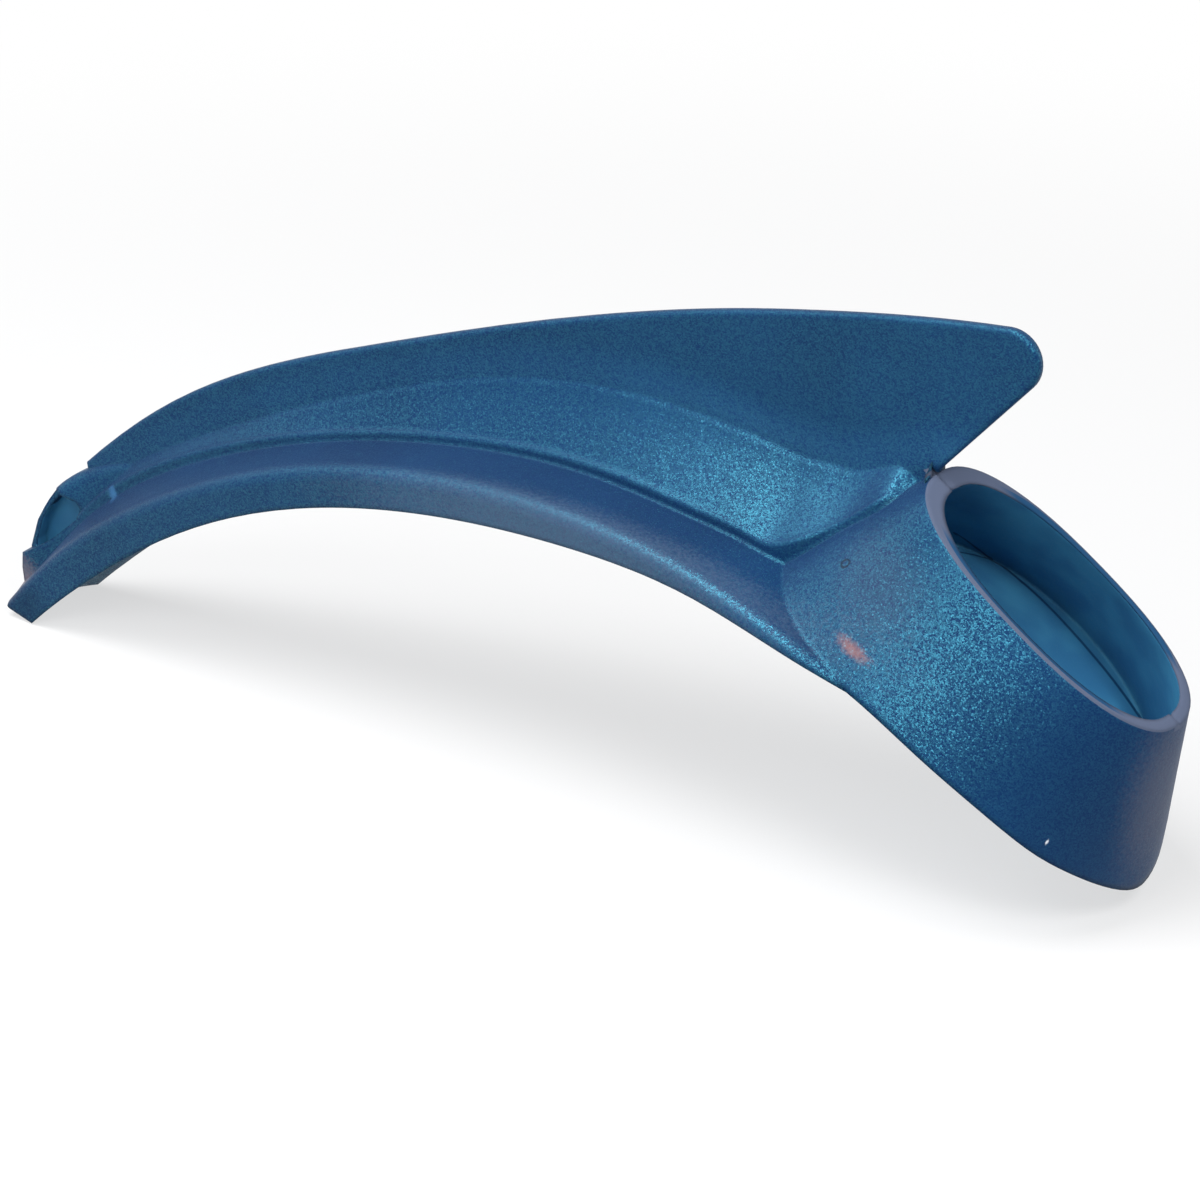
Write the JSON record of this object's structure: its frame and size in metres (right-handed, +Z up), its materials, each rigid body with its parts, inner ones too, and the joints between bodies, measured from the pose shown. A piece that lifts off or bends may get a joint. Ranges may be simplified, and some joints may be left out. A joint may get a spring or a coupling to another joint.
{
  "type": "inflatable boat fin",
  "caption": "Hollow moulded fin for an inflatable boat: a curved saddle, a thin swept blade on a flared foot, and an oval collar at the wide end.",
  "frame": {"origin": "centre of the bounding box at its lowest level, where the narrow end and the collar stand", "axes": "+X from the narrow end to the collar, +Y across the fin, +Z up along the blade; the picture's viewer stands at -Y"},
  "size_m": [0.4634, 0.1142, 0.1908],
  "materials": {
    "shell": "metallic blue with fine flake, satin"
  },
  "bodies": {
    "root": {"fin": "shell"}
  },
  "joints": []
}
